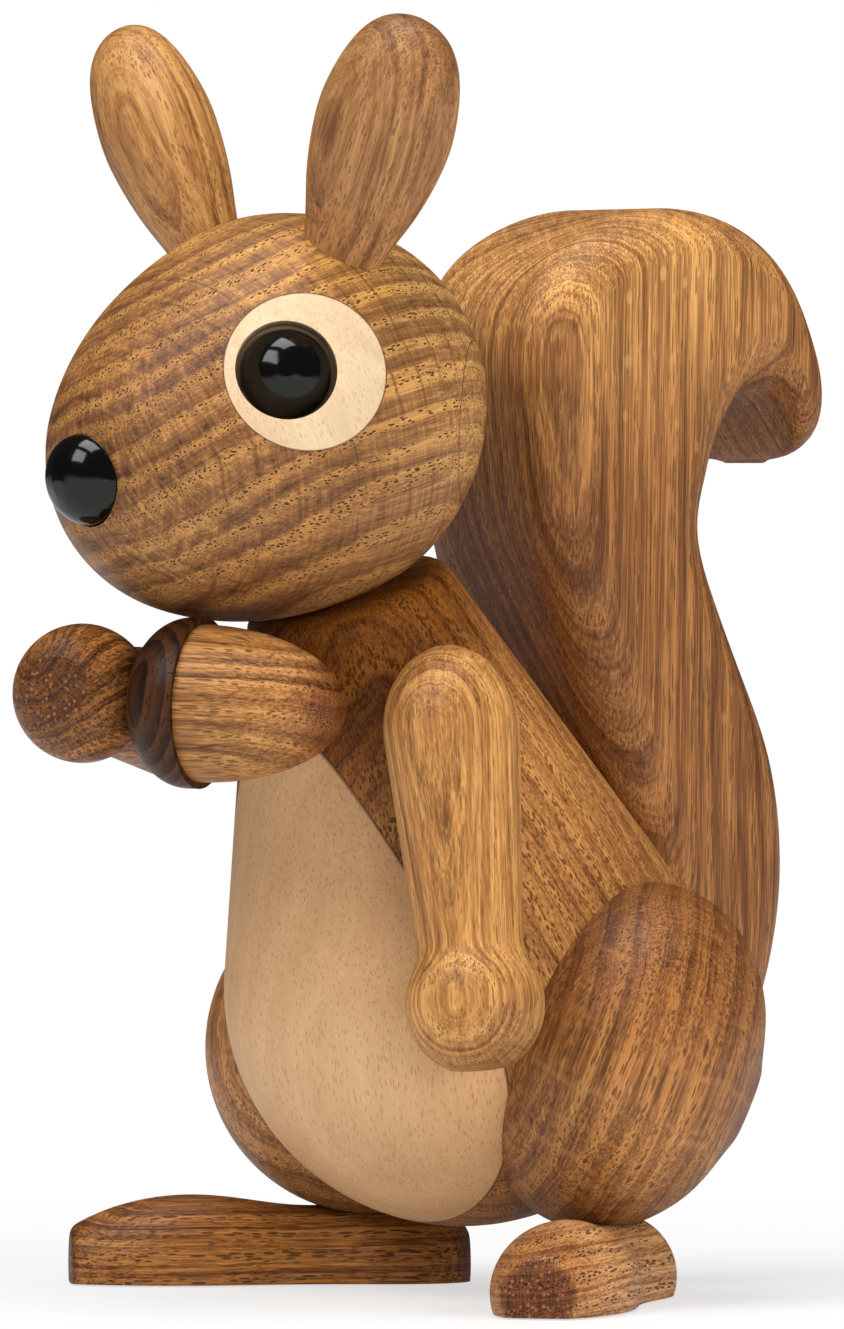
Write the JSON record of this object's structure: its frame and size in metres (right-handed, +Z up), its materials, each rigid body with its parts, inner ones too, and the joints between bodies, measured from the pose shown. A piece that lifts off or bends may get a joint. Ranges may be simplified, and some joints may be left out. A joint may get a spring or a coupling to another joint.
{
  "type": "wooden squirrel figurine",
  "caption": "Upright turned-wood squirrel with swinging arms, turning head and an acorn that lifts off its palm",
  "frame": {"origin": "on the ground under the middle of the whole figure's bounding box", "axes": "+Z up, the squirrel faces -Y, +X is its left side"},
  "size_m": [0.1058, 0.126, 0.1735],
  "materials": {
    "oak": "oiled oak, mid brown, satin",
    "oak_dark": "oiled oak, darker brown, satin",
    "oak_light": "oiled oak, honey coloured, satin",
    "maple": "pale close-grained wood, satin",
    "walnut": "dark wood, satin",
    "beech_pin": "plain dowel rod",
    "bead_black": "glossy black",
    "magnet": "plated magnet",
    "washer": "thin fibre washer"
  },
  "bodies": {
    "torso": {"body_core": "oak", "belly_insert": "maple", "belly_dowel": "beech_pin", "thigh_left": "oak_dark", "thigh_right": "oak_dark", "thigh_dowel_left": "beech_pin", "thigh_dowel_right": "beech_pin", "foot_left": "oak", "foot_right": "oak", "foot_dowel_left": "beech_pin", "foot_dowel_right": "beech_pin", "tail": "oak", "tail_dowel_lower": "beech_pin", "tail_dowel_upper": "beech_pin", "neck_ring": "beech_pin", "shoulder_pin_left": "beech_pin", "shoulder_pin_right": "beech_pin", "shoulder_washer_left": "washer", "shoulder_washer_right": "washer"},
    "head": {"head": "oak_dark", "neck_dowel": "beech_pin", "ear_left": "oak", "ear_right": "oak", "ear_dowel_left": "beech_pin", "ear_dowel_right": "beech_pin", "eye_disc_left": "maple", "eye_disc_right": "maple", "eye_bead_left": "bead_black", "eye_bead_right": "bead_black", "nose_button": "bead_black"},
    "arm_left": {"arm_left": "oak_light"},
    "arm_right": {"arm_right": "oak_light", "hand_magnet": "magnet"},
    "acorn": {"acorn_cap": "walnut", "acorn_nut": "oak_light", "acorn_magnet": "magnet"}
  },
  "joints": [
    {"name": "neck_swivel", "type": "hinge", "parent": "torso", "child": "head", "pos_m": [0, -0.01249, 0.09663], "axis": [0, -0.3567, 0.9342], "range_deg": [-90, 90]},
    {"name": "left_arm_swing", "type": "hinge", "parent": "torso", "child": "arm_left", "pos_m": [0.02736, -0.01727, 0.07878], "axis": [0.8764, -0.4433, 0.1881], "range_deg": [-20, 8]},
    {"name": "right_arm_swing", "type": "hinge", "parent": "torso", "child": "arm_right", "pos_m": [-0.02736, -0.01727, 0.07878], "axis": [-0.8764, -0.4433, 0.1881], "range_deg": [-45, 0]},
    {"name": "acorn_pull", "type": "slide", "parent": "arm_right", "child": "acorn", "axis": [0.8847, 0.4652, -0.0311], "range_m": [0, 0.003]}
  ]
}
